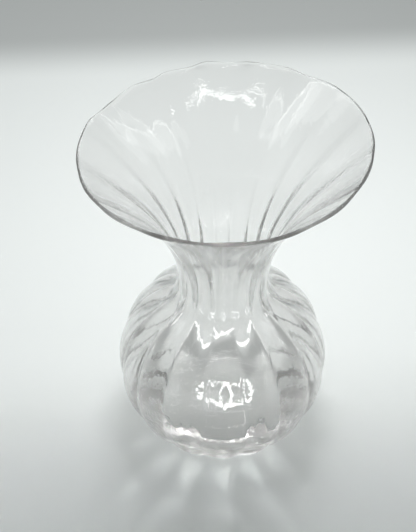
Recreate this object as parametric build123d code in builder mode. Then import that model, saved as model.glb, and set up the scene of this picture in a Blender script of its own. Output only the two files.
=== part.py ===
import os
from math import acos, atan2, cos, degrees, radians, sin, sqrt

from build123d import *

# A blown glass vase: a ribbed round bulb, a narrow neck and a wide trumpet mouth, standing on its foot
# at the origin. Driving dimensions are in millimetres and degrees.
foot_diameter = 72
bulb_diameter = 123
shoulder_radius = 16
neck_diameter = 52
neck_length = 3
flare_height = 88
mouth_diameter = 152
lip_angle = 45
rim_tilt = 3.2
rim_height = 1.7

# Optic ribs: convex lobes parted by narrow grooves, deepest on the bulb and faint at the rim
lobes = 16
bulb_groove = 1.2
neck_groove = 0.7
mouth_groove = 0.2

# Thickness of the glass, heavy in the base, and the rounded heel where the inside floor turns up into the wall
wall = 3.2
mouth_wall = 2.4
floor_thickness = 20
heel_radius = 22
heel_rise = 3

# Hollow under the foot, so that the vase stands on a ring
kick_diameter = 46
kick_depth = 2

overrun = 4

# Where the sections of the glass lie along each stretch of the outer profile
bulb_shares = (0, 0.08, 0.2, 0.34, 0.5, 0.66, 0.8, 0.92)
shoulder_shares = (0, 0.3, 0.65, 1)
flare_shares = (0, 0.18, 0.36, 0.52, 0.68, 0.84, 1)
flare_start_share = 0.42
flare_end_share = 0.36

# Levels and radii that follow from the driving dimensions
foot_radius = foot_diameter / 2
bulb_radius = bulb_diameter / 2
neck_radius = neck_diameter / 2
mouth_radius = mouth_diameter / 2
kick_radius = kick_diameter / 2
bulb_centre = sqrt(bulb_radius**2 - foot_radius**2)
foot_angle = -degrees(acos(foot_radius / bulb_radius))
shoulder_reach = neck_radius + shoulder_radius
shoulder_angle = degrees(acos(shoulder_reach / (bulb_radius + shoulder_radius)))
bulb_top = bulb_centre + bulb_radius * sin(radians(shoulder_angle))
shoulder_top = bulb_centre + (bulb_radius + shoulder_radius) * sin(radians(shoulder_angle))
neck_top = shoulder_top + neck_length
mouth_level = neck_top + flare_height

# The hollow inside the bulb
chamber_radius = bulb_radius - wall
heel_level = floor_thickness + heel_radius
heel_reach = sqrt((chamber_radius - heel_radius)**2 - (bulb_centre - heel_level)**2)
heel_angle = degrees(atan2(heel_level - bulb_centre, heel_reach))

# Planes between the pieces
base_plane = Plane.XY.offset(floor_thickness + heel_rise)
girth_plane = Plane.XY.offset(bulb_centre)
neck_plane = Plane.XY.offset(bulb_top)

# The outer profile over the crests of the ribs
with BuildLine(Plane.XZ) as bulb_line:
    CenterArc((0, bulb_centre), bulb_radius, foot_angle, shoulder_angle - foot_angle)
with BuildLine(Plane.XZ) as shoulder_line:
    CenterArc((shoulder_reach, shoulder_top), shoulder_radius, 180 + shoulder_angle, -shoulder_angle)
with BuildLine(Plane.XZ) as flare_line:
    flare_start = flare_start_share * flare_height
    flare_end = flare_end_share * flare_height
    Bezier(
        (neck_radius, neck_top),
        (neck_radius, neck_top + flare_start),
        (mouth_radius - flare_end * sin(radians(lip_angle)), mouth_level - flare_end * cos(radians(lip_angle))),
        (mouth_radius, mouth_level),
    )


def ring_point(radius, angle):
    return (radius * cos(radians(angle)), radius * sin(radians(angle)))


def lobed_section(plane, radius, groove):
    """A closed ring of convex arcs that meet in grooves."""
    pitch = 360 / lobes
    with BuildSketch(plane) as section:
        with BuildLine():
            for lobe in range(lobes):
                crest = lobe * pitch
                ThreePointArc(
                    ring_point(radius - groove, crest - pitch / 2),
                    ring_point(radius, crest),
                    ring_point(radius - groove, crest + pitch / 2),
                )
        make_face()
    return section.sketch


def tilted_plane(level, share):
    """The level of a section in the flare, which leans over more towards the rim."""
    return Plane.XY.offset(level).rotated((0, -rim_tilt * share, 0))


def between(start, end, share):
    return start + (end - start) * share


# The body below the flare, made whole and then parted into base, lower and upper bulb, and neck
with BuildPart() as body:
    sections = []
    for share in bulb_shares:
        point = bulb_line.line @ share
        sections.append(lobed_section(Plane.XY.offset(point.Z), point.X, bulb_groove))
    for share in shoulder_shares:
        point = shoulder_line.line @ share
        groove = between(bulb_groove, neck_groove, share)
        sections.append(lobed_section(Plane.XY.offset(point.Z), point.X, groove))
    sections.append(lobed_section(Plane.XY.offset(neck_top), neck_radius, neck_groove))
    loft(sections)
    with BuildSketch(Plane.XZ):
        with BuildLine():
            Line((0, floor_thickness), (heel_reach, floor_thickness))
            CenterArc((heel_reach, heel_level), heel_radius, -90, 90 + heel_angle)
            CenterArc((0, bulb_centre), chamber_radius, heel_angle, shoulder_angle - heel_angle)
            CenterArc(
                (shoulder_reach, shoulder_top), shoulder_radius + wall, 180 + shoulder_angle, -shoulder_angle
            )
            Polyline(
                (neck_radius - wall, shoulder_top),
                (neck_radius - wall, neck_top + overrun),
                (0, neck_top + overrun),
                (0, floor_thickness),
            )
        make_face()
    revolve(axis=Axis.Z, mode=Mode.SUBTRACT)
    with BuildSketch(Plane.XZ):
        with BuildLine():
            TangentArc((0, kick_depth), (kick_radius, 0), tangent=(1, 0))
            Polyline((kick_radius, 0), (kick_radius, -overrun), (0, -overrun), (0, kick_depth))
        make_face()
    revolve(axis=Axis.Z, mode=Mode.SUBTRACT)

with BuildPart() as base:
    add(body.part)
    split(bisect_by=base_plane, keep=Keep.BOTTOM)

with BuildPart() as lower_bulb:
    add(body.part)
    split(bisect_by=base_plane, keep=Keep.TOP)
    split(bisect_by=girth_plane, keep=Keep.BOTTOM)

with BuildPart() as upper_bulb:
    add(body.part)
    split(bisect_by=girth_plane, keep=Keep.TOP)
    split(bisect_by=neck_plane, keep=Keep.BOTTOM)

with BuildPart() as neck:
    add(body.part)
    split(bisect_by=neck_plane, keep=Keep.TOP)

# The flare, whose wall thins towards the rim
with BuildPart() as flared_mouth:
    sections = []
    inner_rings = [(Plane.XY.offset(neck_top - overrun), neck_radius - wall)]
    for share in flare_shares:
        point = flare_line.line @ share
        lean = flare_line.line % share
        plane = tilted_plane(point.Z, share)
        sections.append(lobed_section(plane, point.X, between(neck_groove, mouth_groove, share)))
        inner_rings.append((plane, point.X - between(wall, mouth_wall, share) / lean.Z))
    loft(sections)
    rim_plane, rim_inner_radius = inner_rings[-1]
    inner_rings.append((rim_plane.offset(overrun), rim_inner_radius + overrun * lean.X / lean.Z))
    for plane, radius in inner_rings:
        with BuildSketch(plane):
            Circle(radius)
    loft(mode=Mode.SUBTRACT)

# The fire-polished rim: a rounded bead on the end of the wall
with BuildPart() as rim:
    rim_outer_radius = mouth_radius - mouth_groove
    rim_middle = (rim_inner_radius + rim_outer_radius) / 2
    with BuildSketch(Plane(rim_plane.origin, x_dir=rim_plane.y_dir, z_dir=rim_plane.x_dir)):
        with BuildLine():
            Line((rim_inner_radius, 0), (rim_outer_radius, 0))
            ThreePointArc((rim_outer_radius, 0), (rim_middle, rim_height), (rim_inner_radius, 0))
        make_face()
    revolve(axis=Axis(rim_plane.origin, rim_plane.z_dir))

base.part.label = "base"
lower_bulb.part.label = "lower_bulb"
upper_bulb.part.label = "upper_bulb"
neck.part.label = "neck"
flared_mouth.part.label = "flared_mouth"
rim.part.label = "rim"

os.makedirs("parts", exist_ok=True)
export_step(base.part, "parts/base.step")
export_step(lower_bulb.part, "parts/lower_bulb.step")
export_step(upper_bulb.part, "parts/upper_bulb.step")
export_step(neck.part, "parts/neck.step")
export_step(flared_mouth.part, "parts/flared_mouth.step")
export_step(rim.part, "parts/rim.step")

print(f"bulb centre {bulb_centre:.1f}, bulb top {bulb_top:.1f}, neck top {neck_top:.1f}")
print(f"mouth level {mouth_level:.1f}, height to the rim's middle {mouth_level + rim_height:.1f}")
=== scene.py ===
import math
import bmesh
import bpy
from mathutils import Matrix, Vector, noise


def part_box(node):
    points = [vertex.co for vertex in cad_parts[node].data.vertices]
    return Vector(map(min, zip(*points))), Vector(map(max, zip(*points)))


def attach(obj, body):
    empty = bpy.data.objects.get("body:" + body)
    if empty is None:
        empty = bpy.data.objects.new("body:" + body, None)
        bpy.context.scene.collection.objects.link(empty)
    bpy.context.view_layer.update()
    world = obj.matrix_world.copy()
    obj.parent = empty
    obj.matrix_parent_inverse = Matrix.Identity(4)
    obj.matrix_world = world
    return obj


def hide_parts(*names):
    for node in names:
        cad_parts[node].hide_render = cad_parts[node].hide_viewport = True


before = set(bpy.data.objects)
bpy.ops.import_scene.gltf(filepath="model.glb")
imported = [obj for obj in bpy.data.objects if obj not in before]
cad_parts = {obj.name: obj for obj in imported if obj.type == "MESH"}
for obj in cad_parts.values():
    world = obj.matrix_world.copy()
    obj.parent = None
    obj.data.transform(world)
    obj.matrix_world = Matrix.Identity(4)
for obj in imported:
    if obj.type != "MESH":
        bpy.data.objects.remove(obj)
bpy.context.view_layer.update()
scene = bpy.context.scene
print("frame loaded:", sorted(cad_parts))


def mix(start, end, share):
    return start + (end - start) * share


def ease(share):
    share = min(max(share, 0.0), 1.0)
    return share * share * (3 - 2 * share)


# Camera: a short telephoto looking down into the mouth, in metres and degrees
cameraSetup = {
    "eye": (-0.0085, -0.4877, 0.5810),
    "lookDown": 43.21,
    "focalPixels": 1200,      # for a picture of the height below
    "pictureHeight": 532,
    "sensor": 36,
    "clipStart": 0.01,
}


def makeCamera(setup):
    camera = bpy.data.objects.new("camera", bpy.data.cameras.new("camera"))
    scene.collection.objects.link(camera)
    camera.data.sensor_width = setup["sensor"]
    camera.data.lens = setup["sensor"] * setup["focalPixels"] / setup["pictureHeight"]
    camera.data.clip_start = setup["clipStart"]
    camera.location = setup["eye"]
    camera.rotation_euler = (math.radians(90 - setup["lookDown"]), 0, 0)
    scene.camera = camera
    print("camera ready, lens", round(camera.data.lens, 1))


makeCamera(cameraSetup)


# The vase: one closed skin of blown glass, spun from its half section and then ribbed, leaned and rippled
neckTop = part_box("neck")[1].z
girthLow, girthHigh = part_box("lower_bulb")
rimLow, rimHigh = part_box("rim")

vase = {
    # outer profile over the crests of the ribs, in metres and degrees
    "footRadius": 0.036,
    "bulbRadius": (girthHigh.y - girthLow.y) / 2,
    "neckRadius": 0.026,
    "shoulderRadius": 0.016,
    "neckTop": neckTop,
    "mouthRadius": (rimHigh.y - rimLow.y) / 2,
    "rimMiddle": (rimLow.z + rimHigh.z) / 2,
    "lipAngle": 45,
    "flareStartShare": 0.42,
    "flareEndShare": 0.36,
    "rimTilt": 3.2,
    # the hollow under the foot and the turn from the foot into the bulb
    "kickRadius": 0.025,
    "kickDepth": 0.003,
    "footRound": 0.0015,
    "footTurn": [(2, 0, 0.4), (0.6, 0.15, 0.8)],  # inset and rise in foot rounds, and share of the groove
    "footLift": 1.5,                              # degrees up the bulb where the turn ends
    # thickness of the glass, and the bowl where the inside wall runs into the floor
    "wall": 0.0032,
    "mouthWall": 0.0022,
    "floor": 0.020,
    "bowlAngle": -18,
    "bowlWallReach": 0.013,
    "bowlFloorReach": 0.028,
    # ribs: depth of the grooves outside and of the waves inside, which fade out below the girth
    "lobes": 16,
    "grooveRound": 0.13,
    "mouthGrooveRound": 0.45,
    "bulbGroove": 0.0016,
    "neckGroove": 0.0013,
    "mouthGroove": 0.0006,
    "bulbInner": 0.0006,
    "neckInner": 0.0005,
    "mouthInner": 0.0003,
    "innerFadeLow": 0.045,
    "innerFadeHigh": 0.085,
    # hand-blown unevenness: drift and depth of the ribs, fine cords along them, and a slow wobble
    "ribDrift": {"size": 0.035, "around": 1.7, "rise": 9, "seed": 0},
    "ribUneven": {"size": 0.35, "around": 3, "rise": 6, "seed": 5},
    "cord": {"size": 0.00008, "around": 13, "rise": 5},
    "wobble": {"size": 0.00006, "scale": 55},
    "outerSeed": 2.0,
    "innerSeed": 9.0,
    # height of the rim above its leaning plane in millimetres, by the angle round it in degrees
    "rimWave": [(0, 0.6), (20, 0.8), (37, 0.8), (53, -1.2), (63, 0.2), (78, 0.2), (88, -0.5), (98, 1.1),
                (105, -0.8), (115, 0.0), (121, -1.6), (131, -0.2), (143, -1.5), (151, -1.5), (161, 1.1),
                (185, 0.2), (208, 0.4), (230, 1.2), (247, 1.0), (270, 0.3), (288, -0.8), (301, -0.5),
                (318, -0.5), (341, 1.0), (360, 0.6)],
    "rimWaveUnit": 1000,
    "rimWaveFade": 4,         # how fast the wave dies out below the rim
    # fineness of the mesh
    "stepsPerLobe": 24,
    "kickSteps": 8,
    "bulbSteps": 46,
    "shoulderSteps": 10,
    "flareSteps": 38,
    "rimSteps": 8,
    "chamberSteps": 28,
    "bowlSteps": 28,
    "weld": 1e-7,
    "poleRadius": 1e-6,
}


def arcPoints(centre, radius, startAngle, endAngle, steps):
    points = []
    for step in range(steps + 1):
        angle = math.radians(mix(startAngle, endAngle, step / steps))
        points.append((centre[0] + radius * math.cos(angle), centre[1] + radius * math.sin(angle)))
    return points


def bezierPoint(corners, share):
    rest = 1 - share
    point = (corners[0] * rest ** 3 + corners[1] * 3 * rest * rest * share
             + corners[2] * 3 * rest * share * share + corners[3] * share ** 3)
    along = ((corners[1] - corners[0]) * rest * rest + (corners[2] - corners[1]) * 2 * rest * share
             + (corners[3] - corners[2]) * share * share).normalized()
    return point, along


def vaseLevels(v):
    # levels and angles that follow from the sizes
    crown = v["bulbRadius"] + v["shoulderRadius"]
    reach = v["neckRadius"] + v["shoulderRadius"]
    bulbCentre = math.sqrt(v["bulbRadius"] ** 2 - v["footRadius"] ** 2)
    shoulderAngle = math.degrees(math.acos(reach / crown))
    return {
        "bulbCentre": bulbCentre,
        "shoulderReach": reach,
        "shoulderAngle": shoulderAngle,
        "shoulderTop": bulbCentre + crown * math.sin(math.radians(shoulderAngle)),
        "footAngle": -math.degrees(math.acos(v["footRadius"] / v["bulbRadius"])),
        "mouthLevel": v["rimMiddle"] - v["mouthWall"] / 2,
    }


def flarePoint(v, levels, share):
    flareHeight = levels["mouthLevel"] - v["neckTop"]
    lean = math.radians(v["lipAngle"])
    startReach = v["flareStartShare"] * flareHeight
    endReach = v["flareEndShare"] * flareHeight
    mouth = Vector((v["mouthRadius"], levels["mouthLevel"]))
    return bezierPoint([
        Vector((v["neckRadius"], v["neckTop"])),
        Vector((v["neckRadius"], v["neckTop"] + startReach)),
        Vector((mouth.x - endReach * math.sin(lean), mouth.y - endReach * math.cos(lean))),
        mouth,
    ], share)


# Rows of the half section: radius, height, outer groove, inner wave and share of the rim's lean
def outerRows(v, levels):
    rows = []
    for step in range(v["kickSteps"] + 1):
        share = step / v["kickSteps"]
        rows.append((v["kickRadius"] * share, v["kickDepth"] * (1 - ease(share)), 0.0, 0.0, 0.0))
    for inset, rise, grooveShare in v["footTurn"]:
        radius = v["footRadius"] - inset * v["footRound"]
        rows.append((radius, rise * v["footRound"], v["bulbGroove"] * grooveShare, 0.0, 0.0))
    bulb = arcPoints((0, levels["bulbCentre"]), v["bulbRadius"], levels["footAngle"] + v["footLift"],
                     levels["shoulderAngle"], v["bulbSteps"])
    for radius, height in bulb:
        rows.append((radius, height, v["bulbGroove"], 0.0, 0.0))
    shoulder = arcPoints((levels["shoulderReach"], levels["shoulderTop"]), v["shoulderRadius"],
                         180 + levels["shoulderAngle"], 180, v["shoulderSteps"])
    for step in range(1, v["shoulderSteps"] + 1):
        groove = mix(v["bulbGroove"], v["neckGroove"], step / v["shoulderSteps"])
        rows.append((*shoulder[step], groove, 0.0, 0.0))
    for step in range(v["flareSteps"] + 1):
        share = step / v["flareSteps"]
        point = flarePoint(v, levels, share)[0]
        rows.append((point.x, point.y, mix(v["neckGroove"], v["mouthGroove"], share), 0.0, share))
    return rows


def rimRows(v, levels):
    # the rim turns over the end of the wall in a half round
    rows = []
    point, along = flarePoint(v, levels, 1.0)
    inward = Vector((-along.y, along.x))
    half = v["mouthWall"] / 2
    for step in range(1, v["rimSteps"]):
        share = step / v["rimSteps"]
        turn = math.pi * share
        edge = point + inward * half * (1 - math.cos(turn)) + along * half * math.sin(turn)
        rows.append((edge.x, edge.y, v["mouthGroove"] * (1 - share), v["mouthInner"] * share, 1.0))
    return rows


def innerRows(v, levels):
    rows = []
    for step in range(v["flareSteps"], -1, -1):
        share = step / v["flareSteps"]
        point, along = flarePoint(v, levels, share)
        edge = point + Vector((-along.y, along.x)) * mix(v["wall"], v["mouthWall"], share)
        rows.append((edge.x, edge.y, 0.0, mix(v["neckInner"], v["mouthInner"], share), share))
    shoulder = arcPoints((levels["shoulderReach"], levels["shoulderTop"]), v["shoulderRadius"] + v["wall"],
                         180, 180 + levels["shoulderAngle"], v["shoulderSteps"])
    for step, (radius, height) in enumerate(shoulder):
        inner = mix(v["neckInner"], v["bulbInner"], step / v["shoulderSteps"])
        rows.append((radius, height, 0.0, inner, 0.0))
    chamberRadius = v["bulbRadius"] - v["wall"]
    chamber = arcPoints((0, levels["bulbCentre"]), chamberRadius, levels["shoulderAngle"], v["bowlAngle"],
                        v["chamberSteps"])
    for radius, height in chamber[1:]:
        fade = ease((height - v["innerFadeLow"]) / (v["innerFadeHigh"] - v["innerFadeLow"]))
        rows.append((radius, height, 0.0, v["bulbInner"] * fade, 0.0))
    turn = math.radians(v["bowlAngle"])
    wallEnd = Vector((chamberRadius * math.cos(turn), levels["bulbCentre"] + chamberRadius * math.sin(turn)))
    downWall = Vector((math.sin(turn), -math.cos(turn)))
    bowl = [wallEnd, wallEnd + downWall * v["bowlWallReach"], Vector((v["bowlFloorReach"], v["floor"])),
            Vector((0, v["floor"]))]
    for step in range(1, v["bowlSteps"] + 1):
        point = bezierPoint(bowl, step / v["bowlSteps"])[0]
        rows.append((max(point.x, 0), point.y, 0.0, 0.0, 0.0))
    return rows


def lobeDip(azimuth, lean, v):
    # 0 on a lobe's crest and 1 in the groove between two lobes
    wave = abs(math.cos(v["lobes"] * azimuth / 2))
    soft = mix(v["grooveRound"], v["mouthGrooveRound"], lean)
    top = math.sqrt(1 + soft * soft)
    return (top - math.sqrt(wave * wave + soft * soft)) / (top - soft)


def rimRise(azimuth, v):
    angle = math.degrees(azimuth) % 360
    table = v["rimWave"]
    for (start, low), (end, high) in zip(table, table[1:]):
        if start <= angle <= end:
            return mix(low, high, ease((angle - start) / (end - start))) / v["rimWaveUnit"]
    return 0.0


def ribNoise(around, height, rib):
    place = around * rib["around"] + Vector((0, 0, rib["seed"] + height * rib["rise"]))
    return rib["size"] * noise.noise(place)


def blowPoint(point, groove, inner, lean, v):
    # a point of the spun skin, ribbed, rippled and leaned
    radius = math.hypot(point.x, point.y)
    if radius < v["poleRadius"]:
        return point
    azimuth = math.atan2(point.y, point.x)
    around = Vector((math.cos(azimuth), math.sin(azimuth), 0))
    drifted = azimuth + ribNoise(around, point.z, v["ribDrift"])
    uneven = 1 + ribNoise(around, point.z, v["ribUneven"])
    radius += (inner - groove) * lobeDip(drifted, lean, v) * uneven
    if groove or inner:
        side = Vector((0, 0, v["innerSeed"] if inner else v["outerSeed"]))
        cord, wobble = v["cord"], v["wobble"]
        cords = noise.noise(around * cord["around"] + side + Vector((0, 0, point.z * cord["rise"])))
        radius += cord["size"] * cords + wobble["size"] * noise.noise(point * wobble["scale"] + side)
    tilt = math.radians(v["rimTilt"]) * lean
    outward = radius * math.cos(azimuth)
    height = point.z + outward * math.sin(tilt) + rimRise(azimuth, v) * lean ** v["rimWaveFade"]
    return Vector((outward * math.cos(tilt), radius * math.sin(azimuth), height))


def makeVase(v):
    levels = vaseLevels(v)
    bm = bmesh.new()
    layers = [bm.verts.layers.float.new(name) for name in ("groove", "inner", "lean")]
    previous = None
    for radius, height, *traits in outerRows(v, levels) + rimRows(v, levels) + innerRows(v, levels):
        vert = bm.verts.new((radius, 0, height))
        for layer, value in zip(layers, traits):
            vert[layer] = value
        if previous:
            bm.edges.new((previous, vert))
        previous = vert
    bmesh.ops.spin(bm, geom=bm.verts[:] + bm.edges[:], cent=(0, 0, 0), axis=(0, 0, 1),
                   angle=2 * math.pi, steps=v["lobes"] * v["stepsPerLobe"], use_merge=True)
    bmesh.ops.remove_doubles(bm, verts=bm.verts, dist=v["weld"])
    bmesh.ops.recalc_face_normals(bm, faces=bm.faces)
    for vert in bm.verts:
        groove, inner, lean = (vert[layer] for layer in layers)
        vert.co = blowPoint(vert.co, groove, inner, lean, v)
    mesh = bpy.data.meshes.new("blown_glass")
    bm.to_mesh(mesh)
    bm.free()
    mesh.shade_smooth()
    glass = bpy.data.objects.new("blown_glass", mesh)
    scene.collection.objects.link(glass)
    print("vase spun:", len(mesh.polygons), "faces")
    return glass


def addNode(tree, kind, **values):
    node = tree.nodes.new(kind)
    for name, value in values.items():
        node.inputs[name].default_value = value
    return node


def smoothShare(tree, value, start, end):
    share = addNode(tree, "ShaderNodeMapRange", **{"From Min": start, "From Max": end})
    share.interpolation_type = "SMOOTHSTEP"
    tree.links.new(value, share.inputs["Value"])
    return share.outputs["Result"]


def mixTint(tree, share, colour):
    tint = tree.nodes.new("ShaderNodeMix")
    tint.data_type = "RGBA"
    tint.inputs["B"].default_value = colour
    tree.links.new(share, tint.inputs["Factor"])
    return tint


# Clear glass with fine cords drawn down the wall, a slight orange peel and swirls in the heavy base
blownGlass = {
    "tint": (0.90, 0.898, 0.895, 1),
    "ior": 1.5,
    "absorbed": (0.845, 0.842, 0.838, 1),
    "density": 21.0,
    "rippleDetail": 1.5,
    # the swirls are full below one level, fade out up to the next, and lie to the left and right of the base
    "ripples": {
        "cords": {"scale": 300, "stretch": 0.06, "height": 0.00005},
        "peel": {"scale": 560, "stretch": 1.0, "height": 0.00003},
        "swirls": {"scale": 330, "stretch": 1.0, "height": 0.0004, "full": 0.044, "end": 0.060,
                   "sideStart": 0.022, "sideEnd": 0.036},
    },
}


def swirlStrength(tree, parts, swirl):
    low = addNode(tree, "ShaderNodeMapRange", **{"From Min": swirl["end"], "From Max": swirl["full"]})
    reach = tree.nodes.new("ShaderNodeMath")
    reach.operation = "ABSOLUTE"
    side = addNode(tree, "ShaderNodeMapRange",
                   **{"From Min": swirl["sideStart"], "From Max": swirl["sideEnd"]})
    tree.links.new(parts.outputs["Z"], low.inputs["Value"])
    tree.links.new(parts.outputs["X"], reach.inputs[0])
    tree.links.new(reach.outputs["Value"], side.inputs["Value"])
    tree.links.new(low.outputs["Result"], side.inputs["To Max"])
    return side.outputs["Result"]


def glassMaterial(g):
    material = bpy.data.materials.new("clear_blown_glass")
    material.use_nodes = True
    tree = material.node_tree
    shader = tree.nodes["Principled BSDF"]
    shader.inputs["Base Color"].default_value = g["tint"]
    shader.inputs["Roughness"].default_value = 0.0
    shader.inputs["IOR"].default_value = g["ior"]
    shader.inputs["Transmission Weight"].default_value = 1.0
    place = tree.nodes.new("ShaderNodeTexCoord")
    parts = tree.nodes.new("ShaderNodeSeparateXYZ")
    tree.links.new(place.outputs["Object"], parts.inputs["Vector"])
    normal = None
    for name, ripple in g["ripples"].items():
        drawn = addNode(tree, "ShaderNodeMapping", Scale=(1, 1, ripple["stretch"]))
        waves = addNode(tree, "ShaderNodeTexNoise", Scale=ripple["scale"], Detail=g["rippleDetail"])
        bump = addNode(tree, "ShaderNodeBump", Distance=ripple["height"])
        tree.links.new(place.outputs["Object"], drawn.inputs["Vector"])
        tree.links.new(drawn.outputs["Vector"], waves.inputs["Vector"])
        tree.links.new(waves.outputs["Fac"], bump.inputs["Height"])
        if name == "swirls":
            tree.links.new(swirlStrength(tree, parts, ripple), bump.inputs["Strength"])
        if normal:
            tree.links.new(normal, bump.inputs["Normal"])
        normal = bump.outputs["Normal"]
    tree.links.new(normal, shader.inputs["Normal"])
    absorb = addNode(tree, "ShaderNodeVolumeAbsorption", Color=g["absorbed"], Density=g["density"])
    tree.links.new(absorb.outputs["Volume"], tree.nodes["Material Output"].inputs["Volume"])
    print("glass ready")
    return material


glass = makeVase(vase)
glass.data.materials.append(glassMaterial(blownGlass))
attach(glass, "root")
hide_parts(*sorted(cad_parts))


# Stage: a pale paper floor with painted shade, greyer at the far end and darker towards the front
stage = {
    "size": 8.0,
    "gap": 0.0004,            # the paper lies a hair below the foot, so that the two faces do not coincide
    "paper": (0.82, 0.85, 0.84, 1),
    # painted shade: the paper greys at the far end, standing in for a backdrop that turns up out of the
    # light
    "farShade": (0.48, 0.50, 0.495, 1),
    # painted shade: the paper darkens towards the front, where the lamps' light falls off
    "nearShade": (0.56, 0.585, 0.578, 1),
    "alongDepth": (-0.07, 1, 0),
    "farShadeStart": 0.37,
    "farShadeEnd": 0.44,
    "nearShadeStart": 0.06,
    "nearShadeEnd": -0.12,
    "roughness": 0.9,
    "specular": 0.2,
}


def paperMaterial(s):
    material = bpy.data.materials.new("paper")
    material.use_nodes = True
    tree = material.node_tree
    shader = tree.nodes["Principled BSDF"]
    shader.inputs["Roughness"].default_value = s["roughness"]
    shader.inputs["Specular IOR Level"].default_value = s["specular"]
    place = tree.nodes.new("ShaderNodeTexCoord")
    depth = tree.nodes.new("ShaderNodeVectorMath")
    depth.operation = "DOT_PRODUCT"
    depth.inputs[1].default_value = s["alongDepth"]
    tree.links.new(place.outputs["Object"], depth.inputs[0])
    # painted shade darkening the paper towards the front
    nearShade = mixTint(tree, smoothShare(tree, depth.outputs["Value"], s["nearShadeStart"], s["nearShadeEnd"]), s["nearShade"])
    nearShade.inputs["A"].default_value = s["paper"]
    # painted shade greying the paper at the far end
    farShade = mixTint(tree, smoothShare(tree, depth.outputs["Value"], s["farShadeStart"], s["farShadeEnd"]), s["farShade"])
    tree.links.new(nearShade.outputs["Result"], farShade.inputs["A"])
    tree.links.new(farShade.outputs["Result"], shader.inputs["Base Color"])
    return material


def makeFloor(s):
    bm = bmesh.new()
    bmesh.ops.create_grid(bm, x_segments=1, y_segments=1, size=s["size"] / 2)
    mesh = bpy.data.meshes.new("floor")
    bm.to_mesh(mesh)
    bm.free()
    mesh.materials.append(paperMaterial(s))
    floor = bpy.data.objects.new("floor", mesh)
    floor.location.z = -s["gap"]
    scene.collection.objects.link(floor)
    print("floor ready")


makeFloor(stage)

# Light: a lamp above and behind for the floor, thin bars and wide glows that only the glass shows,
# a low ring of small lamps in front, and a dome that is darker in front
lamps = {
    "main": {"centre": (0.02, 0.16, 0.45), "size": (0.22, 0.05), "power": 0.98, "floor": True},
    "barBack": {"centre": (0.01, 0.30, 0.40), "size": (0.60, 0.010), "power": 0.15},
    "barFront": {"centre": (-0.03, -0.097, 0.40), "size": (0.20, 0.010), "power": 0.05},
    "barLeft": {"centre": (-0.21, 0.10, 0.40), "size": (0.010, 0.38), "power": 0.08},
    "barRight": {"centre": (0.23, 0.10, 0.40), "size": (0.010, 0.38), "power": 0.05},
    "glowLeft": {"centre": (-0.27, 0.02, 0.40), "size": (0.14, 0.40), "power": 0.26},
    "glowRight": {"centre": (0.30, 0.02, 0.40), "size": (0.14, 0.40), "power": 0.20},
}
# the lobes of the bulb mirror this ring as speckled patches
lampRing = {
    "middle": (0.014, -0.20, 0.081),
    "reach": (0.042, 0.041),  # half its width and half its height
    "count": 17,
    "uneven": 0.35,
    "seed": (1.7, 0.5, 0),    # step of the unevenness from lamp to lamp, and where it starts
    "aim": (0.01, -0.05, 0.075),
    "spread": 44,
    "size": (0.013, 0.011),
    "power": 0.0006,
}
dome = {
    "top": (0.68, 0.693, 0.69, 1),
    "horizon": (0.62, 0.632, 0.63, 1),
    "front": (0.06, 0.062, 0.062, 1),
    "frontStart": 0.15,
    "frontEnd": 0.70,
    "topStart": 0.15,
    "topEnd": 0.80,
}


def makeLamp(name, setup):
    data = bpy.data.lights.new(name, "AREA")
    data.shape = "RECTANGLE"
    data.size, data.size_y = setup["size"]
    data.energy = setup["power"]
    lamp = bpy.data.objects.new(name, data)
    scene.collection.objects.link(lamp)
    lamp.location = setup["centre"]
    if "aim" in setup:
        towards = Vector(setup["aim"]) - Vector(setup["centre"])
        lamp.rotation_euler = towards.to_track_quat("-Z", "Y").to_euler()
        data.spread = math.radians(setup["spread"])
    lamp.visible_camera = False
    lamp.visible_diffuse = "floor" in setup
    lamp.visible_glossy = "floor" not in setup


def makeLampRing(r):
    width, height = r["reach"]
    stride, *start = r["seed"]
    for step in range(r["count"]):
        turn = 2 * math.pi * step / r["count"]
        uneven = 1 + r["uneven"] * noise.noise(Vector((step * stride, *start)))
        offset = Vector((width * math.cos(turn), 0, height * math.sin(turn)))
        makeLamp("ring_%d" % step, {**r, "centre": Vector(r["middle"]) + offset * uneven})


def makeDome(d):
    world = bpy.data.worlds.new("soft_dome")
    scene.world = world
    world.use_nodes = True
    tree = world.node_tree
    place = tree.nodes.new("ShaderNodeTexCoord")
    parts = tree.nodes.new("ShaderNodeSeparateXYZ")
    tree.links.new(place.outputs["Generated"], parts.inputs["Vector"])
    inFront = smoothShare(tree, parts.outputs["Y"], -d["frontStart"], -d["frontEnd"])
    around = mixTint(tree, inFront, d["front"])
    around.inputs["A"].default_value = d["horizon"]
    overhead = smoothShare(tree, parts.outputs["Z"], d["topStart"], d["topEnd"])
    above = mixTint(tree, overhead, d["top"])
    tree.links.new(around.outputs["Result"], above.inputs["A"])
    tree.links.new(above.outputs["Result"], tree.nodes["Background"].inputs["Color"])


for lampName in sorted(lamps):
    makeLamp(lampName, lamps[lampName])
makeLampRing(lampRing)
makeDome(dome)
print("light ready")

# Light passes many faces of the glass, and its glints stay sharp
scene.view_settings.view_transform = "Standard"
scene.cycles.max_bounces = 64
scene.cycles.transmission_bounces = 48
scene.cycles.glossy_bounces = 48
scene.cycles.transparent_max_bounces = 16
scene.cycles.blur_glossy = 0.0
scene.cycles.sample_clamp_indirect = 0
